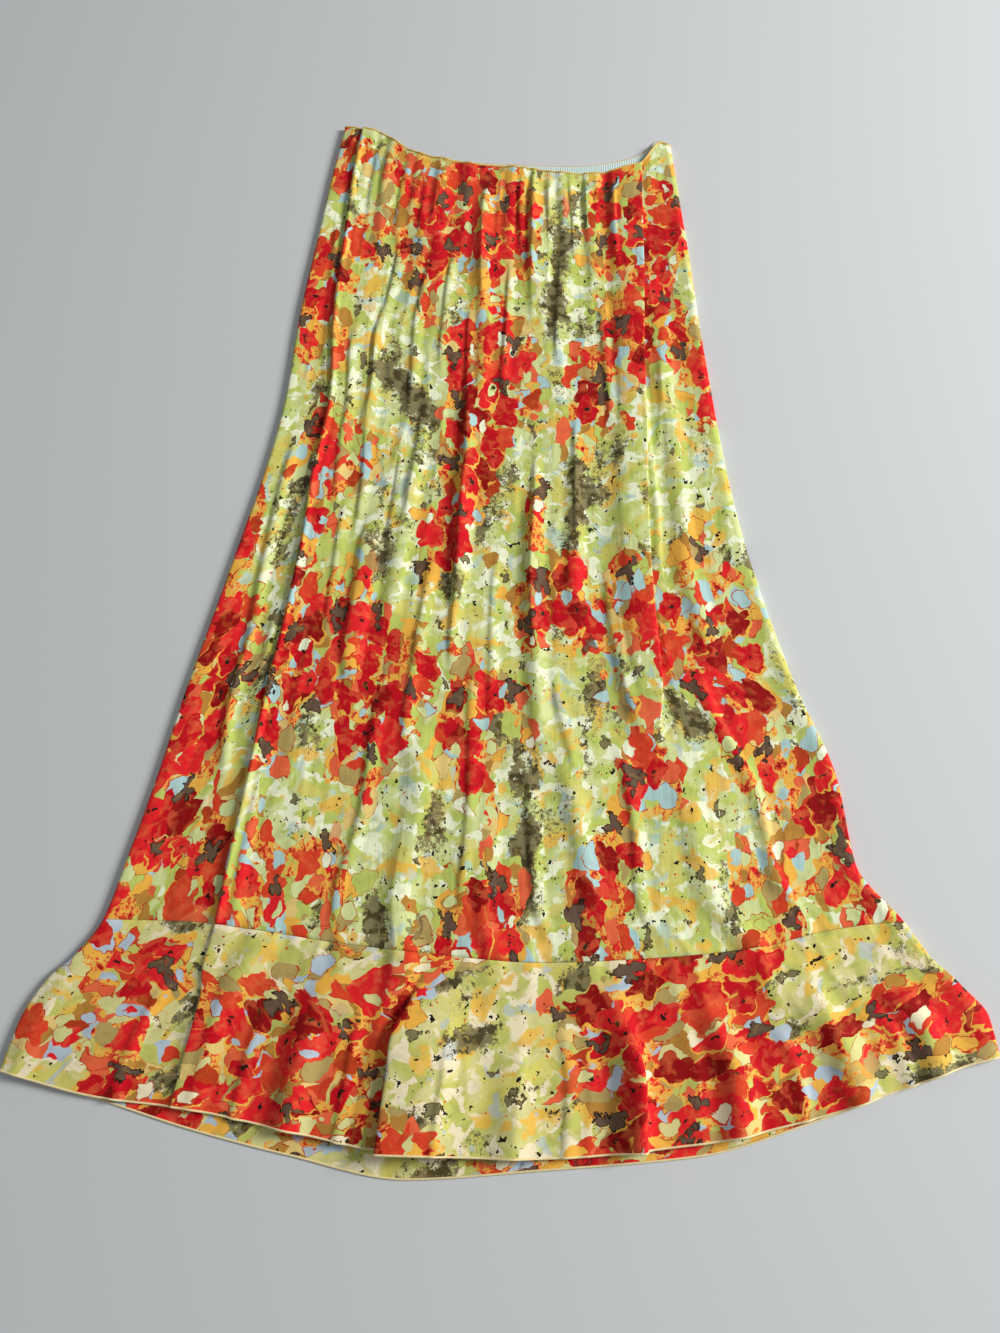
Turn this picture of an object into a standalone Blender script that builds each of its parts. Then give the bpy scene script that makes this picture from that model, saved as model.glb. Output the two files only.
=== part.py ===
"""A gathered midi skirt with a flounce, laid out flat with its front up.

Metres, +Z up, +Y from the hem to the waist. The origin is under the middle of the
skirt, on the surface it lies on. The skirt is a tube of cloth laid flat: the back lies
on the surface, the front lies on the back, and both roll over at the side folds. The
side seams have shifted round the tube, so the left one lies on top, in from the fold,
and the right one lies underneath, as far in from the other fold.
"""

import math

import bpy
import numpy as np

# Cloth and clearances
WALL = 0.0012
SEAM_GAP = 0.0003
LAYER_GAP = 0.0006
ROLL = 0.0021
LAP = 0.006
LAP_GAP = 0.0005
SHARP_ANGLE = math.radians(50)

# Lengths down the skirt, from the left corner of the waist
WAIST_Y = 0.4927
BODY_LENGTH = 0.804
SKIRT_LENGTH = 0.915

# Waist elastic, sewn inside the waist edge
BAND_WALL = 0.0010
BAND_TOP = 0.002
BAND_BOTTOM = 0.017
BAND_INSET = 0.0045
BAND_FADE = 0.060

# Rise of the cloth beside a side fold, and how far in it dies away
EDGE_SOFT = 0.024

# Sections down the skirt. down: below the waist's left corner. left and right: the
# outline. slant: how much the right end of the row lies above the left end. strip: how
# far in from the fold the side seam lies.
SECTION_COLUMNS = ("down", "left", "right", "slant", "strip")
SECTIONS = (
    (0.000, -0.162, 0.174, -0.038, 0.020),
    (0.060, -0.171, 0.178, -0.030, 0.022),
    (0.140, -0.181, 0.184, -0.020, 0.027),
    (0.240, -0.193, 0.190, -0.008, 0.034),
    (0.325, -0.199, 0.197, -0.003, 0.042),
    (0.400, -0.211, 0.204, 0.000, 0.044),
    (0.465, -0.226, 0.213, 0.000, 0.054),
    (0.545, -0.245, 0.230, 0.000, 0.063),
    (0.615, -0.262, 0.249, 0.000, 0.069),
    (0.695, -0.279, 0.275, 0.000, 0.076),
    (0.760, -0.295, 0.282, 0.000, 0.083),
    (BODY_LENGTH, -0.307, 0.314, 0.000, 0.090),
    (0.830, -0.325, 0.331, 0.000, 0.102),
    (0.848, -0.344, 0.349, 0.000, 0.121),
    (0.875, -0.360, 0.367, 0.004, 0.131),
    (SKIRT_LENGTH, -0.371, 0.371, 0.016, 0.134),
)

# Dip of the waist edge, the flounce seam and the hem below the line between their
# ends. across: 0 at the left fold, 1 at the right fold.
DIP_COLUMNS = ("across", "waist_front", "waist_back", "seam", "hem_front", "hem_back")
DIPS = (
    (0.00, 0.000, 0.000, 0.000, 0.000, 0.000),
    (0.10, 0.005, 0.003, 0.001, 0.019, 0.020),
    (0.20, 0.022, 0.015, 0.008, 0.029, 0.042),
    (0.30, 0.035, 0.025, 0.017, 0.044, 0.060),
    (0.42, 0.039, 0.031, 0.025, 0.060, 0.077),
    (0.55, 0.040, 0.031, 0.031, 0.064, 0.072),
    (0.70, 0.044, 0.030, 0.027, 0.056, 0.064),
    (0.82, 0.037, 0.023, 0.019, 0.039, 0.041),
    (0.91, 0.020, 0.010, 0.006, 0.019, 0.019),
    (0.97, -0.002, -0.009, 0.001, 0.005, 0.005),
    (1.00, 0.000, 0.000, 0.000, 0.000, 0.000),
)

# Folds of the front. top and foot: where each starts and ends across the skirt. start
# and end: where it starts and ends down the skirt. lean: how far its crest lies over to
# the right of its foot.
FOLD_COLUMNS = ("top", "foot", "start", "end", "half_width", "height", "lean")
FOLDS = (
    (0.075, 0.085, -0.10, 0.13, 0.011, 0.0026, 0.000),
    (0.160, 0.165, -0.10, 0.17, 0.012, 0.0032, 0.000),
    (0.235, 0.255, -0.10, 0.12, 0.010, 0.0024, 0.000),
    (0.310, 0.330, -0.10, 0.20, 0.013, 0.0034, 0.000),
    (0.385, 0.400, -0.10, 0.13, 0.011, 0.0026, 0.000),
    (0.440, 0.470, -0.10, 0.34, 0.014, 0.0044, 0.000),
    (0.515, 0.520, -0.10, 0.14, 0.010, 0.0028, 0.000),
    (0.600, 0.600, -0.10, 0.22, 0.013, 0.0036, 0.000),
    (0.680, 0.670, -0.10, 0.12, 0.011, 0.0026, 0.000),
    (0.765, 0.745, -0.10, 0.19, 0.012, 0.0032, 0.000),
    (0.905, 0.790, -0.10, 0.66, 0.013, 0.0042, 0.004),
    (0.440, 0.445, 0.26, 0.52, 0.012, 0.0040, 0.000),
    (0.330, 0.315, 0.34, 0.56, 0.013, 0.0032, 0.000),
    (0.255, 0.275, 0.40, 0.62, 0.012, 0.0030, 0.000),
    (0.590, 0.585, 0.37, 0.66, 0.014, 0.0042, 0.000),
    (0.690, 0.660, 0.33, 0.54, 0.012, 0.0030, 0.000),
    (0.900, 0.880, 0.24, 0.62, 0.014, 0.0028, 0.000),
    (0.120, 0.160, 0.46, 0.84, 0.014, 0.0030, 0.000),
    (0.400, 0.370, 0.60, 0.95, 0.018, 0.0038, 0.000),
    (0.610, 0.645, 0.62, 0.78, 0.014, 0.0032, 0.000),
    (0.780, 0.830, 0.66, 0.88, 0.018, 0.0034, 0.000),
    (0.500, 0.490, 0.66, 0.84, 0.016, 0.0028, 0.000),
    (0.060, 0.070, 0.80, 1.20, 0.022, 0.0050, 0.000),
    (0.200, 0.175, 0.78, 1.20, 0.022, 0.0046, 0.000),
    (0.300, 0.280, 0.82, 1.20, 0.020, 0.0052, 0.000),
    (0.402, 0.385, 0.80, 1.20, 0.016, 0.0075, -0.005),
    (0.520, 0.510, 0.83, 1.20, 0.024, 0.0046, 0.000),
    (0.645, 0.650, 0.80, 1.20, 0.018, 0.0066, 0.000),
    (0.740, 0.755, 0.82, 1.20, 0.022, 0.0052, 0.000),
    (0.850, 0.870, 0.80, 1.20, 0.022, 0.0050, 0.000),
    (0.930, 0.950, 0.82, 1.20, 0.020, 0.0056, 0.000),
)
FOLD_TAPER = 0.06

# Grid of each piece: columns across the front, across the back, along a strip and
# round a roll, and rows down the body and the flounce
FRONT_COLUMNS = 54
BACK_COLUMNS = 20
STRIP_COLUMNS = 6
ROLL_COLUMNS = 5
BODY_ROWS = 24
FLOUNCE_FRONT_COLUMNS = 60
FLOUNCE_BACK_COLUMNS = 32
FLOUNCE_STRIP_COLUMNS = 12
FLOUNCE_ROWS = 9
BAND_COLUMNS = 26
BAND_ROWS = 2



class SmoothTable:
    """A table read along smooth curves that never overshoot its rows."""

    def __init__(self, columns, rows):
        values = np.array(rows, dtype=float)
        self.at = values[:, 0]
        self.step = np.diff(self.at)
        self.value = {}
        self.slope = {}
        for name, column in zip(columns, values.T):
            rise = np.diff(column) / self.step
            before = rise[:-1]
            after = rise[1:]
            turns = before * after <= 0
            total = np.where(turns, 1.0, before + after)
            inner = np.where(turns, 0.0, 2 * before * after / total)
            self.value[name] = column
            self.slope[name] = np.concatenate(([rise[0]], inner, [rise[-1]]))

    def read(self, name, place):
        """Read a column at one place or at an array of places."""
        k = np.clip(np.searchsorted(self.at, place) - 1, 0, len(self.step) - 1)
        s = np.clip((place - self.at[k]) / self.step[k], 0.0, 1.0)
        value = self.value[name]
        slope = self.slope[name]
        start = (2 * s**3 - 3 * s**2 + 1) * value[k] + (s**3 - 2 * s**2 + s) * self.step[k] * slope[k]
        end = (3 * s**2 - 2 * s**3) * value[k + 1] + (s**3 - s**2) * self.step[k] * slope[k + 1]
        return start + end


SECTION_TABLE = SmoothTable(SECTION_COLUMNS, SECTIONS)
DIP_TABLE = SmoothTable(DIP_COLUMNS, DIPS)


def smooth_step(value):
    """Rise smoothly from 0 to 1 while the value goes from 0 to 1."""
    value = np.clip(value, 0.0, 1.0)
    return value * value * (3 - 2 * value)


class Section:
    """One row across the skirt, at a distance down from the waist."""

    def __init__(self, down):
        self.down = down
        self.left = SECTION_TABLE.read("left", down)
        self.right = SECTION_TABLE.read("right", down)
        self.slant = SECTION_TABLE.read("slant", down)
        self.strip = SECTION_TABLE.read("strip", down)
        self.width = self.right - self.left
        self.seam = self.left + self.strip

    def dip(self, across, front):
        """Dip of the row below the line between its ends; front goes from 0 to 1."""
        seam = DIP_TABLE.read("seam", across)
        if self.down < BODY_LENGTH:
            share = self.down / BODY_LENGTH
            edge = "waist"
        else:
            share = (SKIRT_LENGTH - self.down) / (SKIRT_LENGTH - BODY_LENGTH)
            edge = "hem"
        back_edge = DIP_TABLE.read(edge + "_back", across)
        front_edge = DIP_TABLE.read(edge + "_front", across)
        edge_dip = back_edge + (front_edge - back_edge) * front
        return edge_dip + (seam - edge_dip) * share

    def y(self, x, front):
        """Position of the row along the skirt's length."""
        across = np.clip((x - self.left) / self.width, 0.0, 1.0)
        return WAIST_Y - self.down + self.slant * across - self.dip(across, front)


def fold_shapes(section, x):
    """Height of the folds at places on the front, and how far they push it sideways."""
    height = np.zeros_like(x)
    push = np.zeros_like(x)
    for row in FOLDS:
        fold = dict(zip(FOLD_COLUMNS, row))
        below_start = section.down - fold["start"]
        above_end = fold["end"] - section.down
        share = np.clip(below_start / (fold["end"] - fold["start"]), 0.0, 1.0)
        centre = section.left + (fold["top"] + (fold["foot"] - fold["top"]) * share) * section.width
        beside = np.clip(np.abs(x - centre) / fold["half_width"], 0.0, 1.0)
        bump = np.cos(beside * math.pi / 2) ** 2
        bump = bump * smooth_step(below_start / FOLD_TAPER) * smooth_step(above_end / FOLD_TAPER)
        height = height + fold["height"] * bump
        push = push + fold["lean"] * bump
    return height, push


def edge_rise(section, x):
    """Rise of the top cloth beside the side folds, down to the flat between them."""
    inward = np.minimum(x - section.left, section.right - x) - WALL / 2 - ROLL
    full = 2 * ROLL - WALL - LAYER_GAP
    return full * (1 - smooth_step(inward / EDGE_SOFT))


def strip_height(section, x):
    """Middle of the wall of the back's strip, where it lies on top at the left."""
    below_band = (section.down - BAND_BOTTOM) / BAND_FADE
    band = 2 * (BAND_WALL + SEAM_GAP) * (1 - smooth_step(below_band))
    return 1.5 * WALL + LAYER_GAP + np.maximum(edge_rise(section, x), band)


def front_top(section, x):
    """Middle of the front's wall, over the back, the elastic and the lapped strip."""
    past_lap = smooth_step((x - section.seam - LAP) / (2 * LAP))
    lap = (WALL + LAP_GAP) * (1 - past_lap)
    height, push = fold_shapes(section, x)
    free = past_lap * smooth_step((section.right - x) / EDGE_SOFT)
    return x + push * free, strip_height(section, x) + lap + height * free


def row_points(section, x, z, front, shown_x=None):
    """Join a row's places into points; shown_x is where sideways lean has moved them."""
    y = section.y(x, front)
    if shown_x is None:
        shown_x = x
    return np.column_stack((shown_x, y, np.broadcast_to(z, x.shape)))


def front_row(section, top_columns, strip_columns):
    """Points of the front piece: under the right fold, round it and over to the seam."""
    roll_x = section.right - WALL / 2 - ROLL
    seam_x = section.right - section.strip + SEAM_GAP / 2
    under = np.linspace(seam_x, roll_x, strip_columns + 1)
    share = np.arange(1, ROLL_COLUMNS + 1) / ROLL_COLUMNS
    round_x = roll_x + ROLL * np.sin(math.pi * share)
    round_z = WALL / 2 + ROLL * (1 - np.cos(math.pi * share))
    over = np.linspace(roll_x, section.seam, top_columns + 1)[1:]
    over_x, over_z = front_top(section, over)
    return np.vstack((
        row_points(section, under, WALL / 2, 0.0),
        row_points(section, round_x, round_z, share),
        row_points(section, over, over_z, 1.0, over_x),
    ))


def back_row(section, back_columns, strip_columns):
    """Points of the back piece: the strip on top, round the left fold and underneath."""
    roll_x = section.left + WALL / 2 + ROLL
    seam_x = section.right - section.strip - SEAM_GAP / 2
    over = np.linspace(section.seam + LAP, roll_x, strip_columns + 1)
    share = np.arange(1, ROLL_COLUMNS + 1) / ROLL_COLUMNS
    round_x = roll_x - ROLL * np.sin(math.pi * share)
    round_z = WALL / 2 + ROLL * (1 + np.cos(math.pi * share))
    under = np.linspace(roll_x, seam_x, back_columns + 1)[1:]
    return np.vstack((
        row_points(section, over, strip_height(section, over), 1.0),
        row_points(section, round_x, round_z, 1 - share),
        row_points(section, under, WALL / 2, 0.0),
    ))


def band_row(section):
    """Points of the waist elastic, all round: along the back, then along the front."""
    radius = (BAND_WALL + SEAM_GAP) / 2
    low = WALL + SEAM_GAP + BAND_WALL / 2
    along = np.linspace(section.left + BAND_INSET, section.right - BAND_INSET, BAND_COLUMNS + 1)
    right_turn = np.array([along[-1] + radius])
    left_turn = np.array([along[0] - radius])
    return np.vstack((
        row_points(section, along, low, 0.0),
        row_points(section, right_turn, low + radius, 0.5),
        row_points(section, along[::-1], low + 2 * radius, 1.0),
        row_points(section, left_turn, low + radius, 0.5),
    ))


def cloth(name, rows, thickness, material, closed_round=False):
    """Make a cloth wall round the middle surface that passes through rows of points."""
    count = len(rows[0])
    vertices = np.vstack(rows).tolist()
    faces = []
    spans = count if closed_round else count - 1
    for i in range(len(rows) - 1):
        for j in range(spans):
            a = i * count + j
            b = i * count + (j + 1) % count
            faces.append((a, a + count, b))
            faces.append((b, a + count, b + count))
    mesh = bpy.data.meshes.new(name)
    mesh.from_pydata(vertices, [], faces)
    mesh.update()
    mesh.shade_smooth()
    mesh.set_sharp_from_angle(angle=SHARP_ANGLE)
    mesh.materials.append(material)
    piece = bpy.data.objects.new(name, mesh)
    bpy.context.collection.objects.link(piece)
    wall = piece.modifiers.new("wall", "SOLIDIFY")
    wall.thickness = thickness
    wall.offset = 0.0
    wall.use_even_offset = True
    wall.use_rim = True
    return piece


def fabric(name, colour, roughness):
    """Make a plain cloth material."""
    material = bpy.data.materials.new(name)
    material.use_nodes = True
    surface = material.node_tree.nodes["Principled BSDF"]
    surface.inputs["Base Color"].default_value = (*colour, 1.0)
    surface.inputs["Roughness"].default_value = roughness
    surface.inputs["Metallic"].default_value = 0.0
    return material


def make_body():
    """Make the front and back panels, from the waist to the flounce seam."""
    downs = np.linspace(0.0, BODY_LENGTH - SEAM_GAP / 2, BODY_ROWS + 1)
    sections = [Section(down) for down in downs]
    front = [front_row(section, FRONT_COLUMNS, STRIP_COLUMNS) for section in sections]
    back = [back_row(section, BACK_COLUMNS, STRIP_COLUMNS) for section in sections]
    cloth("front_panel", front, WALL, fabric("front_print", (0.72, 0.42, 0.10), 0.75))
    cloth("back_panel", back, WALL, fabric("back_print", (0.66, 0.40, 0.12), 0.75))


def make_flounce():
    """Make the front and back of the flounce, from the seam to the hem."""
    downs = np.linspace(BODY_LENGTH + SEAM_GAP / 2, SKIRT_LENGTH, FLOUNCE_ROWS + 1)
    sections = [Section(down) for down in downs]
    front = [front_row(section, FLOUNCE_FRONT_COLUMNS, FLOUNCE_STRIP_COLUMNS) for section in sections]
    back = [back_row(section, FLOUNCE_BACK_COLUMNS, FLOUNCE_STRIP_COLUMNS) for section in sections]
    cloth("front_flounce", front, WALL, fabric("front_flounce_print", (0.70, 0.46, 0.14), 0.75))
    cloth("back_flounce", back, WALL, fabric("back_flounce_print", (0.64, 0.44, 0.16), 0.75))


def make_waist_elastic():
    """Make the elastic that runs all round inside the waist edge."""
    downs = np.linspace(BAND_TOP, BAND_BOTTOM, BAND_ROWS + 1)
    rows = [band_row(Section(down)) for down in downs]
    cloth("waist_elastic", rows, BAND_WALL, fabric("mint_elastic", (0.55, 0.78, 0.74), 0.8), True)


def main():
    """Clear the scene and make the skirt's five pieces."""
    for old in list(bpy.data.objects):
        bpy.data.objects.remove(old, do_unlink=True)
    make_body()
    make_flounce()
    make_waist_elastic()


main()
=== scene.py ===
import math
from collections import namedtuple

import bpy
import numpy as np
from mathutils import Matrix, Vector


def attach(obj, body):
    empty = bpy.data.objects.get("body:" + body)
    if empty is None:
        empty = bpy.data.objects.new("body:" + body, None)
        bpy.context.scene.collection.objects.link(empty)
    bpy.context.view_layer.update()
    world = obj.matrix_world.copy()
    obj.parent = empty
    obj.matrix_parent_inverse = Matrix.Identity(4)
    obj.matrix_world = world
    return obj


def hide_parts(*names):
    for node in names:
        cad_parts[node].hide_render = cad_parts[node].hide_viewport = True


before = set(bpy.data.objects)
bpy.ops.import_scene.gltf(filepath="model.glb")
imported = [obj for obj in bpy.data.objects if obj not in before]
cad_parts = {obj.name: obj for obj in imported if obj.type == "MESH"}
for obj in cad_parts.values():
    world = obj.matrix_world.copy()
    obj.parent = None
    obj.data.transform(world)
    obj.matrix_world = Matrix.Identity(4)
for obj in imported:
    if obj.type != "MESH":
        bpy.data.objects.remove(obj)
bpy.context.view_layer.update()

# The skirt's own sizes, in metres: cloth, rolls, laps and lengths, as in the solids
WALL = 0.0012
SKIN = WALL / 2
SEAM_GAP = 0.0003
LAYER_GAP = 0.0006
ROLL = 0.0021
LAP = 0.006
LAP_GAP = 0.0005
WAIST_Y = 0.4927
BODY_LENGTH = 0.804
SKIRT_LENGTH = 0.915
BAND_WALL = 0.0010
BAND_TOP = 0.002
BAND_BOTTOM = 0.017
BAND_INSET = 0.0045
BAND_FADE = 0.060
EDGE_SOFT = 0.024
UNDERSIDE = 0.0002
WAIST_WIDTH = 0.34
FRONT_LIFT = 0.0007

# Sections down the skirt. down: below the waist's left corner. left and right: the
# outline. slant: how much the right end of the row lies above the left end. strip: how
# far in from the fold the side seam lies.
SECTION_COLUMNS = ("down", "left", "right", "slant", "strip")
SECTIONS = (
    (0.000, -0.162, 0.174, -0.038, 0.020),
    (0.060, -0.171, 0.178, -0.030, 0.022),
    (0.140, -0.181, 0.184, -0.020, 0.027),
    (0.240, -0.193, 0.190, -0.008, 0.034),
    (0.325, -0.199, 0.197, -0.003, 0.042),
    (0.400, -0.211, 0.204, 0.000, 0.044),
    (0.465, -0.226, 0.213, 0.000, 0.054),
    (0.545, -0.245, 0.230, 0.000, 0.063),
    (0.615, -0.262, 0.249, 0.000, 0.069),
    (0.695, -0.279, 0.275, 0.000, 0.076),
    (0.760, -0.295, 0.282, 0.000, 0.083),
    (BODY_LENGTH, -0.307, 0.314, 0.000, 0.090),
    (0.830, -0.325, 0.331, 0.000, 0.102),
    (0.848, -0.344, 0.349, 0.000, 0.121),
    (0.875, -0.360, 0.367, 0.004, 0.131),
    (SKIRT_LENGTH, -0.371, 0.371, 0.016, 0.134),
)

# Dip of the waist edge, the flounce seam and the hem below the line between their
# ends. across: 0 at the left fold, 1 at the right fold.
DIP_COLUMNS = ("across", "waist_front", "waist_back", "seam", "hem_front", "hem_back")
DIPS = (
    (0.00, 0.000, 0.000, 0.000, 0.000, 0.000),
    (0.10, 0.005, 0.003, 0.001, 0.019, 0.020),
    (0.20, 0.026, 0.021, 0.008, 0.029, 0.042),
    (0.30, 0.037, 0.031, 0.017, 0.044, 0.060),
    (0.42, 0.041, 0.034, 0.025, 0.060, 0.077),
    (0.55, 0.042, 0.033, 0.031, 0.064, 0.072),
    (0.70, 0.046, 0.031, 0.027, 0.056, 0.064),
    (0.82, 0.041, 0.023, 0.019, 0.039, 0.041),
    (0.91, 0.023, 0.010, 0.006, 0.019, 0.019),
    (0.97, -0.002, -0.009, 0.001, 0.005, 0.005),
    (1.00, 0.000, 0.000, 0.000, 0.000, 0.000),
)

# Main folds of the front, as in the solids, without the two that lap over
FOLD_COLUMNS = ("top", "foot", "start", "end", "half_width", "height")
FOLDS = (
    (0.075, 0.085, -0.10, 0.13, 0.011, 0.0020),
    (0.160, 0.165, -0.10, 0.17, 0.012, 0.0022),
    (0.235, 0.255, -0.10, 0.12, 0.010, 0.0017),
    (0.310, 0.330, -0.10, 0.20, 0.013, 0.0022),
    (0.385, 0.400, -0.10, 0.13, 0.011, 0.0017),
    (0.440, 0.470, 0.02, 0.34, 0.014, 0.0034),
    (0.515, 0.520, -0.10, 0.14, 0.010, 0.0017),
    (0.600, 0.600, 0.01, 0.22, 0.013, 0.0026),
    (0.680, 0.670, -0.10, 0.12, 0.011, 0.0017),
    (0.765, 0.745, -0.10, 0.19, 0.012, 0.0020),
    (0.440, 0.445, 0.26, 0.52, 0.012, 0.0040),
    (0.330, 0.315, 0.34, 0.56, 0.013, 0.0032),
    (0.255, 0.275, 0.40, 0.62, 0.012, 0.0030),
    (0.590, 0.585, 0.37, 0.66, 0.014, 0.0042),
    (0.690, 0.660, 0.33, 0.54, 0.012, 0.0030),
    (0.900, 0.880, 0.24, 0.62, 0.014, 0.0028),
    (0.120, 0.160, 0.46, 0.84, 0.014, 0.0030),
    (0.400, 0.370, 0.60, 0.95, 0.018, 0.0038),
    (0.610, 0.645, 0.62, 0.78, 0.014, 0.0032),
    (0.780, 0.830, 0.66, 0.88, 0.018, 0.0034),
    (0.500, 0.490, 0.66, 0.84, 0.016, 0.0028),
    (0.060, 0.070, 0.80, 1.20, 0.022, 0.0050),
    (0.200, 0.175, 0.78, 1.20, 0.022, 0.0046),
    (0.300, 0.280, 0.81, 1.20, 0.020, 0.0060),
    (0.520, 0.510, 0.83, 1.20, 0.024, 0.0046),
    (0.638, 0.640, 0.80, 1.20, 0.020, 0.0066),
    (0.740, 0.755, 0.81, 1.20, 0.020, 0.0066),
    (0.850, 0.870, 0.80, 1.20, 0.020, 0.0062),
    (0.930, 0.950, 0.82, 1.20, 0.020, 0.0056),
)
FOLD_TAPER = 0.06

# How far the crests of folds and creases wander, and over what length
WANDER_REACH = 0.003
WANDER_LENGTH = 0.07

# Sharp creases, narrower than the main folds. lean: how far the crest lies to the right
# of its foot.
CREASE_COLUMNS = ("top", "foot", "start", "end", "half_width", "height", "lean")
CREASE_TAPER = 0.045
CREASES = (
    (0.452, 0.462, 0.01, 0.19, 0.0075, 0.0036, -0.0030),
    (0.425, 0.437, 0.17, 0.31, 0.0060, 0.0022, -0.0018),
    (0.437, 0.440, 0.26, 0.42, 0.0060, 0.0030, -0.0026),
    (0.440, 0.446, 0.36, 0.58, 0.0070, 0.0030, -0.0026),
    (0.325, 0.330, 0.29, 0.44, 0.0055, 0.0022, -0.0020),
    (0.285, 0.300, 0.33, 0.48, 0.0065, 0.0024, -0.0020),
    (0.598, 0.590, 0.34, 0.55, 0.0065, 0.0032, -0.0028),
    (0.690, 0.682, 0.30, 0.46, 0.0055, 0.0020, -0.0016),
    (0.615, 0.640, 0.55, 0.68, 0.0065, 0.0022, -0.0018),
    (0.845, 0.835, 0.28, 0.50, 0.0060, 0.0018, 0.0012),
    (0.185, 0.215, 0.40, 0.57, 0.0070, 0.0022, -0.0016),
    (0.520, 0.510, 0.44, 0.62, 0.0065, 0.0018, -0.0012),
    (0.548, 0.556, -0.10, 0.12, 0.0060, 0.0028, -0.0022),
    (0.590, 0.585, -0.10, 0.16, 0.0055, 0.0026, -0.0020),
    (0.640, 0.635, -0.10, 0.11, 0.0065, 0.0026, -0.0018),
    (0.700, 0.705, -0.10, 0.14, 0.0060, 0.0026, -0.0020),
    (0.745, 0.740, -0.10, 0.08, 0.0055, 0.0020, -0.0014),
    (0.820, 0.805, -0.10, 0.15, 0.0065, 0.0024, 0.0014),
    (0.350, 0.345, -0.10, 0.09, 0.0065, 0.0016, -0.0014),
    (0.275, 0.285, -0.10, 0.13, 0.0070, 0.0018, -0.0016),
    (0.205, 0.215, -0.10, 0.15, 0.0070, 0.0018, -0.0016),
    (0.155, 0.150, -0.10, 0.10, 0.0065, 0.0015, -0.0012),
    (0.120, 0.125, -0.10, 0.12, 0.0065, 0.0015, -0.0011),
    (0.230, 0.195, 0.10, 0.36, 0.0070, 0.0026, -0.0024),
    (0.310, 0.290, 0.12, 0.33, 0.0070, 0.0026, -0.0022),
    (0.375, 0.362, 0.10, 0.28, 0.0065, 0.0024, -0.0022),
    (0.530, 0.520, 0.11, 0.30, 0.0065, 0.0022, -0.0020),
    (0.665, 0.655, 0.10, 0.27, 0.0065, 0.0020, -0.0016),
    (0.770, 0.765, 0.16, 0.34, 0.0065, 0.0018, -0.0014),
    (0.145, 0.170, 0.22, 0.44, 0.0075, 0.0026, -0.0022),
    (0.240, 0.262, 0.42, 0.60, 0.0080, 0.0026, -0.0020),
    (0.390, 0.372, 0.44, 0.66, 0.0080, 0.0024, -0.0018),
    (0.730, 0.742, 0.46, 0.64, 0.0080, 0.0022, -0.0016),
    (0.350, 0.345, 0.82, 1.20, 0.0080, 0.0024, -0.0020),
    (0.642, 0.645, 0.82, 1.20, 0.0110, 0.0062, 0.0075),
    (0.045, 0.130, 0.10, 0.44, 0.0075, 0.0028, -0.0024),
    (0.095, 0.150, 0.24, 0.60, 0.0080, 0.0030, -0.0026),
    (0.200, 0.225, 0.20, 0.46, 0.0065, 0.0024, -0.0022),
    (0.110, 0.165, 0.52, 0.80, 0.0090, 0.0030, -0.0024),
    (0.045, 0.095, 0.36, 0.70, 0.0080, 0.0034, -0.0026),
    (0.485, 0.470, 0.55, 0.79, 0.0080, 0.0026, -0.0022),
    (0.330, 0.300, 0.58, 0.80, 0.0085, 0.0026, -0.0020),
    (0.560, 0.575, 0.64, 0.80, 0.0085, 0.0026, -0.0020),
    (0.700, 0.715, 0.62, 0.80, 0.0085, 0.0024, -0.0018),
    (0.850, 0.900, 0.56, 0.80, 0.0085, 0.0026, 0.0018),
    (0.250, 0.232, 0.83, 1.20, 0.0085, 0.0024, -0.0016),
    (0.800, 0.815, 0.83, 1.20, 0.0085, 0.0022, 0.0014),
    (0.450, 0.440, 0.83, 1.20, 0.0085, 0.0024, -0.0018),
    (0.575, 0.570, 0.82, 1.20, 0.0085, 0.0022, -0.0016),
    (0.130, 0.105, 0.82, 1.20, 0.0085, 0.0022, -0.0014),
    (0.900, 0.925, 0.82, 1.20, 0.0090, 0.0024, 0.0016),
)

# Folds that lap over their own foot. over: how far the crest lies past its foot, to
# the right where it is positive.
LAP_COLUMNS = ("top", "foot", "start", "end", "half_width", "height", "over", "taper")
LAPS = (
    (0.882, 0.756, -0.10, 0.66, 0.0080, 0.0062, 0.0125, 0.09),
    (0.422, 0.408, 0.806, 1.20, 0.0130, 0.0125, -0.0200, 0.05),
)
# Shape of a lap from its crest, in half widths: reach of its back and its face, the
# trough before its foot, and the part that is carried over
LAP_BACK = 2.2
LAP_FACE = 0.75
TROUGH_DEPTH = 0.24
TROUGH_CENTRE = 1.7
TROUGH_REACH = 0.8
CARRY_CENTRE = 0.15
CARRY_REACH = 0.62

# Share of the relief that is left at the waist edge and at the left side seam, and the
# lengths over which it comes back
WAIST_RELIEF = 0.35
WAIST_FADE = 0.035
SEAM_RELIEF = 0.25
SEAM_FADE = 0.02
CREASE_SHARE = 0.85
WAVE_FADE = 0.012
STRIP_INSET = 0.002

# Gathers at the waist, and puckers beside the flounce seam
GATHER_START = 0.006
GATHER_LENGTH = 0.075
PUCKER_LENGTH = 0.022
GROOVE_DEPTH = 0.0012
GROOVE_WIDTH = 0.0014

# Ridge along the left side seam: height, place in from the seam, reach, and the length
# over which it rises from the waist
RIDGE_HEIGHT = 0.0031
RIDGE_PLACE = 0.0018
RIDGE_REACH = 0.0026
RIDGE_FADE = 0.03

# Grid of each shell
FRONT_COLUMNS = 310
BACK_COLUMNS = 90
STRIP_COLUMNS = 24
ROLL_COLUMNS = 8
BODY_ROWS = 250
BACK_ROWS = 220
FLOUNCE_FRONT_COLUMNS = 330
FLOUNCE_BACK_COLUMNS = 200
FLOUNCE_STRIP_COLUMNS = 60
FLOUNCE_ROWS = 84
SEAM_FOLD = 0.0016
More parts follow.
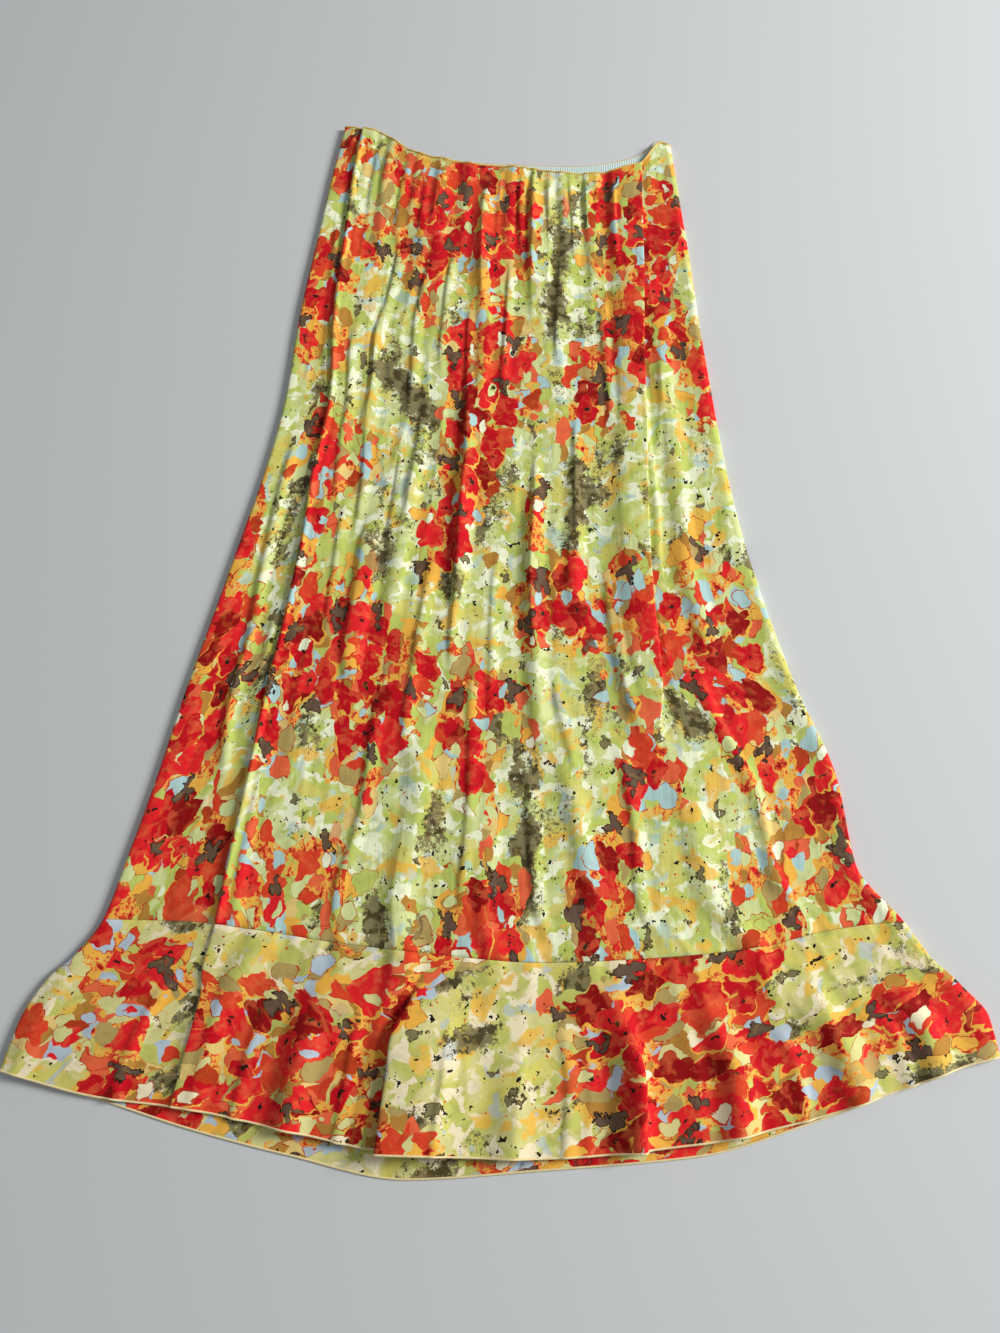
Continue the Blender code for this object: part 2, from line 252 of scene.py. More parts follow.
# Rows close to the flounce seam, and where the evenly spaced rows start
SEAM_STEPS = np.array([0.0001, 0.0004, 0.0007, 0.0011, 0.0016, 0.0022, 0.003])
SEAM_ZONE = 0.004
# Turns of the front's edge as it tucks in at the left side seam, in quarter turns
TUCK_TURNS = (0.35, 0.8, 1.0)

# Bound edges and the elastic: spacing of their rings, turns of thread and ribs
EDGE_STEP = 0.0006
EDGE_SIDES = 8
EDGE_SIDE = 0.0008
WAIST_PITCH = 0.0018
HEM_PITCH = 0.0022
RIB_PITCH = 0.0024
RIB_COLUMNS = 560
RIB_HEIGHT = 0.00016
LOOP_PITCH = 0.0011
BAND_ROWS = 12
BAND_RISE = 0.0008
BAND_LIFT = 0.0003

# How far the print is turned on the flounce, in degrees
FLOUNCE_TURN = 68

# The floor, the light and the camera. Places are in metres and turns in degrees. The
# camera was found from the photograph.
FLOOR_HALF = 3.0
FLOOR_Z = -0.0001
FILL_COLOUR = (0.95, 0.98, 1.0, 1.0)
FILL_STRENGTH = 0.28
WINDOW_PLACE = (3.0, 0.45, 1.65)
WINDOW_SIZE = 1.1
WINDOW_POWER = 152.0
WINDOW_COLOUR = (1.0, 0.985, 0.96)
CAMERA_PLACE = (0.039, -0.3788, 0.7993)
CAMERA_TURN = 7.2065
CAMERA_TILT = 19.247
CAMERA_ROLL = -7.1888
CAMERA_LENS = 27.03
CAMERA_SENSOR = 36.0


class SmoothTable:
    """A table read along smooth curves that never overshoot its rows."""

    def __init__(self, columns, rows):
        values = np.array(rows, dtype=float)
        self.at = values[:, 0]
        self.step = np.diff(self.at)
        self.value = {}
        self.slope = {}
        for name, column in zip(columns, values.T):
            rise = np.diff(column) / self.step
            before = rise[:-1]
            after = rise[1:]
            turns = before * after <= 0
            total = np.where(turns, 1.0, before + after)
            inner = np.where(turns, 0.0, 2 * before * after / total)
            self.value[name] = column
            self.slope[name] = np.concatenate(([rise[0]], inner, [rise[-1]]))

    def read(self, name, place):
        """Read a column at one place or at an array of places."""
        row = np.clip(np.searchsorted(self.at, place) - 1, 0, len(self.step) - 1)
        step = self.step[row]
        s = np.clip((place - self.at[row]) / step, 0.0, 1.0)
        value = self.value[name]
        slope = self.slope[name]
        start = (2 * s**3 - 3 * s**2 + 1) * value[row] + (s**3 - 2 * s**2 + s) * step * slope[row]
        end = (3 * s**2 - 2 * s**3) * value[row + 1] + (s**3 - s**2) * step * slope[row + 1]
        return start + end


SECTION_TABLE = SmoothTable(SECTION_COLUMNS, SECTIONS)
DIP_TABLE = SmoothTable(DIP_COLUMNS, DIPS)


MAIN_FOLDS = [{"taper": FOLD_TAPER, **dict(zip(FOLD_COLUMNS, row))} for row in FOLDS]
SHARP_CREASES = [{"taper": CREASE_TAPER, **dict(zip(CREASE_COLUMNS, row))} for row in CREASES]
LAP_FOLDS = [dict(zip(LAP_COLUMNS, row)) for row in LAPS]


def smooth_step(value):
    """Rise smoothly from 0 to 1 while the value goes from 0 to 1."""
    value = np.clip(value, 0.0, 1.0)
    return value * value * (3 - 2 * value)


def bell(place, centre, reach):
    """A smooth hump: 1 at its centre, and lower on both sides."""
    return np.exp(-(((place - centre) / reach) ** 2))


class Lumps:
    """Smooth uneven waves between -1 and 1, with lumps one unit apart in slanting rows."""

    count = 61
    slant = 0.43

    def __init__(self, seed):
        self.values = np.random.default_rng(seed).uniform(-1, 1, (self.count, self.count))

    def read(self, u, v):
        """Height of the waves at places u, v."""
        v = v + self.slant * u
        column = np.floor(u).astype(int)
        row = np.floor(v).astype(int)
        s = smooth_step(u - column)
        t = smooth_step(v - row)
        columns = (column % self.count, (column + 1) % self.count)
        rows = (row % self.count, (row + 1) % self.count)
        near = self.values[columns[0], rows[0]] * (1 - s) + self.values[columns[1], rows[0]] * s
        far = self.values[columns[0], rows[1]] * (1 - s) + self.values[columns[1], rows[1]] * s
        return near * (1 - t) + far * t


# Small waves of the cloth. height, across and along are in metres: how high they are, and
# how far apart. start is where they are read from, in lumps, so that no two are alike.
Waves = namedtuple("Waves", "lumps height across along start", defaults=((0.0, 0.0),))
BROAD = Lumps(21)
CRINKLES = Waves(Lumps(22), 0.0017, 0.0125, 0.16)
FINE_CRINKLES = Waves(Lumps(23), 0.0006, 0.0065, 0.08, (7.1, 0.0))
GATHERS = Waves(Lumps(24), 0.0008, 0.0085, 0.10, (0.0, 5.5))
PUCKERS = Waves(Lumps(25), 0.00065, 0.0085, 0.030)
BROAD_WAVES = Waves(BROAD, 0.0012, 0.024, 0.21)
FLOUNCE_WAVES = Waves(BROAD, 0.0024, 0.026, 0.3, (4.2, 0.0))
# How strong the crinkles are: 0.55 on average, and up to 0.60 more or less in places
SWELLS = Waves(Lumps(26), 0.60, 0.05, 0.11, (3.3, 0.0))
SWELL_MEAN = 0.55
# The crinkles are this strong at the waist, and lose so much of it over this length
CRINKLE_START = 1.2
CRINKLE_LOSS = 0.55
CRINKLE_LENGTH = 0.5


def read_waves(waves, across, along):
    """Uneven waves of one kind, up to their height above and below 0."""
    u = across / waves.across + waves.start[0]
    v = along / waves.along + waves.start[1]
    return waves.height * waves.lumps.read(u, v)


def read_crests(waves, across, along, sharpness, level):
    """Sharp crests of one kind, from below the level of the cloth to above it."""
    lumps = np.abs(read_waves(waves, across, along)) / waves.height
    return waves.height * ((1 - lumps) ** sharpness - level)


class Section:
    """One row across the skirt, at a distance down from the waist."""

    def __init__(self, down):
        self.down = down
        self.left = SECTION_TABLE.read("left", down)
        self.right = SECTION_TABLE.read("right", down)
        self.slant = SECTION_TABLE.read("slant", down)
        self.strip = SECTION_TABLE.read("strip", down)
        self.width = self.right - self.left
        self.seam = self.left + self.strip

    def dip(self, across, front):
        """Dip of the row below the line between its ends; front goes from 0 to 1."""
        seam = DIP_TABLE.read("seam", across)
        if self.down < BODY_LENGTH:
            share = self.down / BODY_LENGTH
            edge = "waist"
        else:
            share = (SKIRT_LENGTH - self.down) / (SKIRT_LENGTH - BODY_LENGTH)
            edge = "hem"
        back_edge = DIP_TABLE.read(edge + "_back", across)
        front_edge = DIP_TABLE.read(edge + "_front", across)
        edge_dip = back_edge + (front_edge - back_edge) * front
        return edge_dip + (seam - edge_dip) * share

    def y(self, x, front):
        """Position of the row along the skirt's length."""
        across = np.clip((x - self.left) / self.width, 0.0, 1.0)
        return WAIST_Y - self.down + self.slant * across - self.dip(across, front)


def fold_line(section, fold):
    """Where a fold's crest crosses a row, and how much of its height it has there."""
    taper = fold["taper"]
    below_start = section.down - fold["start"]
    above_end = fold["end"] - section.down
    share = np.clip(below_start / (fold["end"] - fold["start"]), 0.0, 1.0)
    centre = section.left + (fold["top"] + (fold["foot"] - fold["top"]) * share) * section.width
    return centre, smooth_step(below_start / taper) * smooth_step(above_end / taper)


def ridges(section, x, folds):
    """Height and sideways shift of a table's folds at places on the front."""
    height = np.zeros_like(x)
    shift = np.zeros_like(x)
    for fold in folds:
        centre, strength = fold_line(section, fold)
        if strength > 0:
            wander = WANDER_REACH * BROAD.read(section.down / WANDER_LENGTH, 10 * fold["top"])
            beside = np.clip(np.abs(x - centre - wander) / fold["half_width"], 0.0, 1.0)
            crest = strength * np.cos(beside * math.pi / 2) ** 2
            height = height + fold["height"] * crest
            shift = shift + fold.get("lean", 0.0) * crest
    return height, shift


def laps(section, x):
    """Height and sideways shift of the folds that lap over their own foot."""
    height = np.zeros_like(x)
    shift = np.zeros_like(x)
    for fold in LAP_FOLDS:
        centre, strength = fold_line(section, fold)
        if strength > 0:
            side = math.copysign(1.0, fold["over"])
            place = (x - centre) / fold["half_width"] * side
            rise = np.where(place < 0, bell(place, 0.0, LAP_BACK), bell(place, 0.0, LAP_FACE))
            trough = TROUGH_DEPTH * bell(place, TROUGH_CENTRE, TROUGH_REACH)
            height = height + fold["height"] * strength * (rise - trough)
            shift = shift + fold["over"] * strength * bell(place, CARRY_CENTRE, CARRY_REACH)
    return height, shift


def edge_rise(section, x):
    """Rise of the top cloth beside the side folds, down to the flat between them."""
    inward = np.minimum(x - section.left, section.right - x) - WALL / 2 - ROLL
    full = 2 * ROLL - WALL - LAYER_GAP
    return full * (1 - smooth_step(inward / EDGE_SOFT))


def strip_height(section, x):
    """Middle of the wall of the back's strip, where it lies on top at the left."""
    below_band = (section.down - BAND_BOTTOM) / BAND_FADE
    band = 2 * (BAND_WALL + SEAM_GAP) * (1 - smooth_step(below_band))
    return 1.5 * WALL + LAYER_GAP + np.maximum(edge_rise(section, x), band)


def small_waves(section, x):
    """Uneven crinkles of thin cloth, with the gathers at the waist and the seam's puckers."""
    down = section.down
    middle = (section.left + section.right) / 2
    across = (x - middle) / section.width * WAIST_WIDTH
    amount = np.clip(SWELL_MEAN + read_waves(SWELLS, across, down), 0.0, 1.0)
    amount = amount * (CRINKLE_START - CRINKLE_LOSS * smooth_step(down / CRINKLE_LENGTH))
    waves = amount * read_crests(CRINKLES, across, down, 3, 0.28)
    waves = waves + amount * read_crests(FINE_CRINKLES, across, down, 2, 0.35)
    waves = waves + read_waves(BROAD_WAVES, across, down)
    gathered = 1 - smooth_step((down - GATHER_START) / GATHER_LENGTH)
    waves = waves + gathered * read_crests(GATHERS, across, down, 2, 0.35)
    near_seam = 1 - smooth_step(abs(down - BODY_LENGTH) / PUCKER_LENGTH)
    waves = waves + near_seam * read_waves(PUCKERS, x, down)
    below_seam = smooth_step((down - BODY_LENGTH - 0.01) / 0.05)
    return waves + below_seam * read_waves(FLOUNCE_WAVES, across, down)


def seam_groove(section):
    """Fall of the cloth into the flounce seam."""
    return GROOVE_DEPTH * math.exp(-abs(section.down - BODY_LENGTH) / GROOVE_WIDTH)


def front_top(section, x):
    """Top face of the front, over the back, the elastic and the lapped strip."""
    in_from_left = x - section.seam
    in_from_right = section.right - x
    past_lap = smooth_step((in_from_left - LAP) / (2 * LAP))
    lap = (WALL + LAP_GAP) * (1 - past_lap)
    free = past_lap * smooth_step(in_from_right / EDGE_SOFT)
    near_waist = WAIST_RELIEF + (1 - WAIST_RELIEF) * smooth_step(section.down / WAIST_FADE)
    folds, _ = ridges(section, x, MAIN_FOLDS)
    creases, lean = ridges(section, x, SHARP_CREASES)
    crease_share = CREASE_SHARE * near_waist
    lap_height, lap_shift = laps(section, x)
    waves = near_waist * small_waves(section, x) * smooth_step(in_from_right / WAVE_FADE)
    waves = waves * (SEAM_RELIEF + (1 - SEAM_RELIEF) * smooth_step(in_from_left / SEAM_FADE))
    ridge = 0.0
    if section.down < BODY_LENGTH - 0.001:
        ridge = RIDGE_HEIGHT * smooth_step(section.down / RIDGE_FADE)
        ridge = ridge * bell(in_from_left, RIDGE_PLACE, RIDGE_REACH)
    base = strip_height(section, x) + lap + SKIN + FRONT_LIFT
    relief = (folds + crease_share * creases + lap_height) * free
    z = base + relief + waves + ridge - seam_groove(section)
    return x + (lap_shift + crease_share * lean) * free, section.y(x, 1.0), z


def strip_top(section, x):
    """Top face of the back's strip."""
    inward = np.minimum(x - section.left - STRIP_INSET, section.seam - x) / WAVE_FADE
    creases, _ = ridges(section, x, SHARP_CREASES)
    waves = (small_waves(section, x) + creases) * smooth_step(inward)
    return section.y(x, 1.0), strip_height(section, x) + SKIN + waves - seam_groove(section)


def uneven_places(start, end, count, dense):
    """Places from start to end, closer together near each dense place (centre, reach, share)."""
    fine = np.linspace(start, end, 600)
    weight = np.ones_like(fine)
    for centre, reach, share in dense:
        weight = weight + 3.0 * share * bell(fine, centre, reach)
    total = np.concatenate(([0.0], np.cumsum((weight[1:] + weight[:-1]) / 2)))
    return np.interp(np.linspace(0, total[-1], count + 1), total, fine)


def side_roll(share):
    """Reach outwards and height of the outer face round a side fold, from under to over."""
    middle = WALL / 2 + ROLL
    radius = ROLL + SKIN
    turn = math.pi * share
    lower = middle - (middle - UNDERSIDE) * np.cos(turn)
    upper = middle - radius * np.cos(turn)
    return radius * np.sin(turn), np.where(share > 0.5, upper, lower)


def front_row(section, top_columns, strip_columns):
    """Points of the front piece: under the right fold, round it and over to the seam."""
    roll_x = section.right - WALL / 2 - ROLL
    seam_x = section.right - section.strip + SEAM_GAP / 2
    under = np.linspace(seam_x, roll_x, strip_columns + 1)
    share = np.arange(1, ROLL_COLUMNS + 1) / ROLL_COLUMNS
    reach, round_z = side_roll(share)
    round_x = roll_x + reach
    dense = []
    for fold in LAP_FOLDS:
        centre, strength = fold_line(section, fold)
        dense.append((centre, LAP_BACK * fold["half_width"], strength))
    over = uneven_places(section.seam, roll_x, top_columns, dense)[::-1][1:]
    over_x, over_y, over_z = front_top(section, over)
    turn = np.array(TUCK_TURNS) * math.pi / 2
    tuck_x = section.seam - SEAM_FOLD * 0.5 * np.sin(turn)
    tuck_y = np.full(turn.shape, over_y[-1])
    tuck_z = over_z[-1] - SEAM_FOLD * (1 - np.cos(turn))
    x = np.concatenate((under, round_x, over_x, tuck_x))
    y = np.concatenate((section.y(under, 0.0), section.y(round_x, share), over_y, tuck_y))
    z = np.concatenate((np.full(under.shape, UNDERSIDE), round_z, over_z, tuck_z))
    return np.column_stack((x, y, z))


def back_row(section, back_columns, strip_columns):
    """Points of the back piece: the strip on top, round the left fold and underneath."""
    roll_x = section.left + WALL / 2 + ROLL
    seam_x = section.right - section.strip - SEAM_GAP / 2
    over = np.linspace(section.seam + LAP, roll_x, strip_columns + 1)
    over_y, over_z = strip_top(section, over)
    share = 1 - np.arange(1, ROLL_COLUMNS + 1) / ROLL_COLUMNS
    reach, round_z = side_roll(share)
    round_x = roll_x - reach
    under = np.linspace(roll_x, seam_x, back_columns + 1)[1:]
    x = np.concatenate((over, round_x, under))
    y = np.concatenate((over_y, section.y(round_x, share), section.y(under, 0.0)))
    z = np.concatenate((over_z, round_z, np.full(under.shape, UNDERSIDE)))
    return np.column_stack((x, y, z))


def make_piece(name, grid, flat, material, closed_round, turned):
    """Make a surface through a grid of points, with its flat places as its UV map.

    closed_round joins the last column to the first. turned makes the faces look the
    other way.
    """
    height, count = grid.shape[:2]
    spans = count if closed_round else count - 1
    faces = []
    for i in range(height - 1):
        for j in range(spans):
            a = i * count + j
            b = i * count + (j + 1) % count
            faces.append((a, b, b + count, a + count) if turned else (a, a + count, b + count, b))
    mesh = bpy.data.meshes.new(name)
    mesh.from_pydata(grid.reshape(-1, 3).tolist(), [], faces)
    uv = mesh.uv_layers.new(name="cloth")
    corner = np.empty(len(mesh.loops), dtype=np.int32)
    mesh.loops.foreach_get("vertex_index", corner)
    uv.data.foreach_set("uv", flat.reshape(-1, 2)[corner].astype(np.float32).ravel())
    mesh.update()
    mesh.shade_smooth()
    mesh.materials.append(material)
    piece = bpy.data.objects.new(name, mesh)
    bpy.context.collection.objects.link(piece)
    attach(piece, "root")
    return piece


def shell(name, rows, material, origin_x, print_shift, print_right, closed_round=False):
    """Make a cloth surface through rows of points, with its flat cloth as its UV map.

    The UV map is in metres: across is the length of cloth from the line x = origin_x,
    and along is the place down the skirt, both moved by print_shift. print_right says
    whether the rows go to the right where they cross that line.
    """
    grid = np.array(rows)
    x, y, z = np.moveaxis(grid, 2, 0)
    across = np.hypot(np.diff(x, axis=1), np.diff(z, axis=1))
    across = np.concatenate((np.zeros((len(rows), 1)), np.cumsum(across, axis=1)), axis=1)
    underneath = (z < 0.001) * (z.max() > 0.002)
    anchor = (np.abs(x - origin_x) + 10 * underneath).argmin(axis=1)[:, None]
    start = np.take_along_axis(across, anchor, axis=1)
    anchor_x = np.take_along_axis(x, anchor, axis=1) - origin_x
    sign = 1.0 if print_right else -1.0
    flat_x = sign * (across - start) + anchor_x + print_shift[0]
    flat = np.stack((flat_x, y + print_shift[1]), axis=2)
    return make_piece(name, grid, flat, material, closed_round, False)


def colour(red, green, blue):
    """A colour given as it looks on a screen, 0 to 255, as the shader's own numbers."""
    shares = [value / 255 for value in (red, green, blue)]
    bright = [s / 12.92 if s <= 0.04045 else ((s + 0.055) / 1.055) ** 2.4 for s in shares]
    return (*bright, 1.0)


class Shader:
    """Builds one material's nodes from small steps."""

    def __init__(self, name, named=None):
        self.material = bpy.data.materials.new(name)
        self.material.use_nodes = True
        self.tree = self.material.node_tree
        self.surface = self.tree.nodes["Principled BSDF"]
        self.named = named or {}

    def add(self, kind):
        """Add a node."""
        return self.tree.nodes.new("ShaderNode" + kind)

    def feed(self, node, values):
        """Link values to a node's inputs, or set the inputs to them or to a named colour."""
        for name, value in values.items():
            if isinstance(value, bpy.types.NodeSocket):
                self.tree.links.new(value, node.inputs[name])
            else:
                node.inputs[name].default_value = self.named[value] if isinstance(value, str) else value

    def calc(self, operation, first, second=0.0):
        """One step of arithmetic."""
        node = self.add("Math")
        node.operation = operation
        self.feed(node, {0: first, 1: second})
        return node.outputs[0]

    def plus(self, first, second):
        """The sum of two values."""
        return self.calc("ADD", first, second)

    def minus(self, first, second):
        """The first value without the second."""
        return self.calc("SUBTRACT", first, second)

    def times(self, first, second):
        """The product of two values."""
        return self.calc("MULTIPLY", first, second)

    def vector(self, operation, first, second=(0.0, 0.0, 0.0)):
        """One step of vector arithmetic."""
        node = self.add("VectorMath")
        node.operation = operation
        self.feed(node, {0: first, 1: second})
        return node.outputs["Value" if operation == "LENGTH" else "Vector"]

    def scale(self, vector, size):
        """A vector made longer or shorter."""
        return self.vector("MULTIPLY", vector, (size, size, size))

    def move(self, place, x, y):
        """Places moved by x and y metres."""
        return self.vector("ADD", place, (x, y, 0.0))

    def squeeze(self, place, share):
        """Places whose distances along the cloth count less, which draws marks out that way."""
        return self.vector("MULTIPLY", place, (1.0, share, 1.0))

    def parts(self, vector):
        """The x, y and z of a vector or the parts of a colour."""
        node = self.add("SeparateXYZ")
        self.feed(node, {0: vector})
        return node.outputs[0], node.outputs[1], node.outputs[2]

    def ramp(self, value, low, high):
        """Go smoothly from 0 to 1 while the value goes from low to high."""
        node = self.add("MapRange")
        node.interpolation_type = "SMOOTHSTEP"
        self.feed(node, {"Value": value, "From Min": low, "From Max": high})
        return node.outputs["Result"]

    def mix(self, share, first, second):
        """Mix two colours."""
        node = self.add("Mix")
        node.data_type = "RGBA"
        self.feed(node, {0: share, 6: first, 7: second})
        return node.outputs[2]

    def wash(self, shade, value, low, high, tone, strength=1.0):
        """Lay a tone over a shade while the value goes from low to high."""
        return self.mix(self.times(self.ramp(value, low, high), strength), shade, tone)

    def noise(self, place, size, detail=2.0, rough=0.5, output=0):
        """Cloudy noise with lumps about size metres across. Output 1 is its colour."""
        node = self.add("TexNoise")
        node.noise_dimensions = "2D"
        self.feed(node, {"Vector": place, "Scale": 1 / size, "Detail": detail, "Roughness": rough})
        return node.outputs[output]

    def cells(self, place, size, feature="F1"):
        """Uneven cells about size metres across."""
        node = self.add("TexVoronoi")
        node.voronoi_dimensions = "2D"
        node.feature = feature
        self.feed(node, {"Vector": place, "Scale": 1 / size, "Randomness": 0.9})
        return node.outputs

    def choose(self, value, names):
        """Pick one of the named colours, in equal steps of a value from 0 to 1."""
        node = self.add("ValToRGB")
        node.color_ramp.interpolation = "CONSTANT"
        steps = node.color_ramp.elements
        while len(steps) < len(names):
            steps.new(1.0)
        for k, name in enumerate(names):
            steps[k].position = k / len(names)
            steps[k].color = self.named[name]
        self.feed(node, {0: value})
        return node.outputs["Color"]

    def wander(self, place, size, reach):
        """Move places about, by up to reach metres, in lumps of about size metres."""
        centred = self.vector("SUBTRACT", self.noise(place, size, output=1), (0.5, 0.5, 0.5))
        return self.vector("ADD", place, self.scale(centred, 2 * reach))

    def cloth(self, turn=0):
        """Places on the flat cloth, in metres, with the cloth turned by some degrees."""
        source = self.add("UVMap")
        source.uv_map = "cloth"
        if not turn:
            return source.outputs["UV"]
        turned = self.add("VectorRotate")
        turned.rotation_type = "Z_AXIS"
        self.feed(turned, {"Vector": source.outputs["UV"], "Angle": math.radians(turn)})
        return turned.outputs["Vector"]

    def finish(self, shade, roughness, sheen, specular, relief, strength, distance):
        """Colour and finish of the surface, and its fine relief: strength and height."""
        bump = self.add("Bump")
        self.feed(bump, {"Height": relief, "Strength": strength, "Distance": distance})
        looks = {"Base Color": shade, "Roughness": roughness, "Sheen Weight": sheen}
        looks.update({"Specular IOR Level": specular, "Normal": bump.outputs["Normal"]})
        self.feed(self.surface, looks)
        return self.material


# The print's colours, as they look on a screen, and the tints that are warmer on the flounce
INKS = {
    "yellow": colour(216, 208, 104),
    "wheat": colour(232, 202, 124),
    "gold": colour(242, 182, 74),
    "amber": colour(186, 134, 58),
    "sand": colour(238, 190, 78),
    "khaki": colour(184, 160, 96),
    "olive": colour(130, 122, 84),
    "dark_olive": colour(80, 70, 42),
    "coral": colour(236, 104, 66),
    "brick": colour(220, 66, 38),
    "rust": colour(186, 62, 26),
    "scarlet": colour(230, 34, 40),
    "crimson": colour(200, 12, 28),
    "deep_red": colour(150, 8, 12),
    "brown": colour(50, 32, 20),
    "grey_brown": colour(104, 82, 66),
    "black": colour(30, 26, 20),
}
BODY_TINTS = {
    "lime": colour(192, 206, 104),
    "pale": colour(214, 223, 154),
    "cream": colour(242, 248, 212),
    "aqua": colour(176, 210, 208),
}
FLOUNCE_TINTS = {
    "lime": colour(197, 199, 104),
    "pale": colour(218, 213, 144),
    "cream": colour(244, 232, 194),
    "aqua": colour(184, 200, 212),
}

# The marks are taller than wide, and the print is finer than the sizes given below.
STRETCH = (1.0, 0.64, 1.0)
FINER = 1.18

# The busy red areas of the print: where they are read from, how much they are drawn out
# along the cloth, and their size
ZONE_MOVE = (2.37, 6.11)
ZONE_SQUEEZE = 0.52
ZONE_SIZE = 0.096

# Washes of the ground, from the lowest: colour, strength, where it is read from, size and
# detail of its clouds, and the values between which it comes in
WASHES = (
    ("pale", 1.0, (0.0, 0.0), 0.026, 3.0, 0.400, 0.580),
    ("cream", 1.0, (3.1, 1.7), 0.017, 2.0, 0.515, 0.575),
    ("yellow", 0.85, (7.4, 5.2), 0.032, 3.0, 0.550, 0.640),
    ("sand", 0.9, (2.6, 4.9), 0.028, 3.0, 0.585, 0.660),
    ("aqua", 0.6, (5.4, 8.2), 0.022, 2.0, 0.640, 0.700),
)

# Scattered marks. spacing: size of their cells. zone: how far inside a busy area they
# start. empty: share of the cells without one. move: where the cells are read from.
# small, large: reach of the marks.
Marks = namedtuple("Marks", "spacing zone empty move small large tones", defaults=(0.0, 0.0, ()))
MOSAIC_TONES = ("gold", "aqua", "pale", "coral", "lime", "amber")
MOSAIC_TONES = MOSAIC_TONES + ("lime", "brick", "gold", "pale", "wheat", "lime")
DOT_TONES = ("aqua", "coral", "gold", "khaki", "brick", "pale", "scarlet", "amber", "lime")
OVAL_TONES = ("amber", "brick", "aqua", "khaki", "coral", "gold", "aqua", "rust", "khaki")
PETAL_TONES = ("scarlet", "brick", "crimson", "scarlet", "deep_red", "brick", "crimson")
TOP_TONES = ("crimson", "scarlet", "deep_red", "scarlet", "crimson")
LEAF_TONES = ("cream", "pale", "cream", "aqua")
FADED_BLOTCHES = Marks(0.0400, 0.100, 0.52, (3.3, 5.8), 0.0036, 0.0066, ("dark_olive", "olive"))
MOSAIC = Marks(0.0115, 0.507, 0.0, (0.0, 0.0), tones=MOSAIC_TONES)
DOTS = Marks(0.0130, 0.494, 0.34, (9.1, 4.3), 0.0028, 0.0060, DOT_TONES)
OVALS = Marks(0.0200, 0.482, 0.42, (4.4, 1.9), 0.0050, 0.0088, OVAL_TONES)
PETALS = Marks(0.0270, 0.541, 0.29, (0.7, 3.3), 0.0105, 0.0175, PETAL_TONES)
TOP_PETALS = Marks(0.0250, 0.545, 0.27, (6.2, 0.6), 0.0085, 0.0135, TOP_TONES)
LEAVES = Marks(0.0330, 0.490, 0.52, (8.3, 2.2), 0.0034, 0.0062, LEAF_TONES)
HEARTS = Marks(0.0250, 0.540, 0.36, (6.2, 0.6))
DARK_BLOTCHES = Marks(0.0440, 0.500, 0.30, (1.6, 9.4), 0.0080, 0.0120, ("brown", "grey_brown"))
LACE_ZONE = 0.494

# Soft edge of a mark and of a torn one, in metres outside and inside its line
EDGE = (-0.0002, 0.0003)
TORN_EDGE = (-0.0001, 0.0003)


def scatter(ink, place, marks):
    """A cell round each mark: the arm from its middle, three chances and its middle."""
    moved = ink.vector("MULTIPLY", ink.move(place, *marks.move), STRETCH)
    cells = ink.cells(moved, marks.spacing)
    arm = ink.vector("SUBTRACT", moved, cells["Position"])
    home = ink.vector("DIVIDE", cells["Position"], STRETCH)
    return arm, ink.parts(cells["Color"]), ink.move(home, -marks.move[0], -marks.move[1])


def zone_at(ink, place):
    """How far a place is inside the busy red areas of the print, about 0 to 1."""
    moved = ink.squeeze(ink.move(place, *ZONE_MOVE), ZONE_SQUEEZE)
    return ink.noise(moved, ZONE_SIZE, 2.0, 0.45)


def marked(ink, place, marks):
    """A cell round each mark: the arm from its middle, two chances, and 1 if it has a mark."""
    arm, (pick, other, third), home = scatter(ink, place, marks)
    lucky = ink.ramp(other, marks.empty, marks.empty + 0.01)
    here = ink.times(lucky, ink.ramp(zone_at(ink, home), marks.zone, marks.zone + 0.002))
    return arm, pick, third, here


def within(ink, reach, arm):
    """How far a place is inside a reach from its cell's middle."""
    return ink.minus(reach, ink.vector("LENGTH", arm))


def mark_reach(ink, chance, marks):
    """Reach of a mark, between the smallest and the largest."""
    return ink.plus(ink.times(chance, marks.large - marks.small), marks.small)


def lobe_waves(ink, arm, spin, lobes):
    """Waves from 0 to 1 round a cell's middle, one for each lobe, turned by its chance."""
    x, y, _ = ink.parts(arm)
    angle = ink.plus(ink.calc("ARCTAN2", y, x), ink.times(spin, 9.0))
    return ink.calc("ABSOLUTE", ink.calc("COSINE", ink.times(angle, lobes / 2)))


def stamp(ink, shade, inside, here, tone, edge=EDGE):
    """Print a tone where inside is above 0, in the chosen cells."""
    return ink.mix(ink.times(ink.ramp(inside, *edge), here), shade, tone)


def ground(ink, soft):
    """Lime, pale lime and cream washes that run softly into one another."""
    shade = "lime"
    for name, strength, move, size, detail, low, high in WASHES:
        cloud = ink.noise(ink.move(soft, *move), size, detail)
        shade = ink.wash(shade, cloud, low, high, name, strength)
    return shade


def uneven_ink(ink, shade, place, soft):
    """Ink that is a little deeper in some places and paler in others."""
    deeper = ink.noise(ink.move(soft, 8.8, 3.4), 0.0130, 3.0, 0.6)
    shade = ink.wash(shade, deeper, 0.46, 0.68, "brown", 0.13)
    paler = ink.noise(ink.move(place, 1.9, 6.7), 0.0090, 3.0, 0.6)
    return ink.wash(shade, paler, 0.52, 0.72, "sand", 0.10)


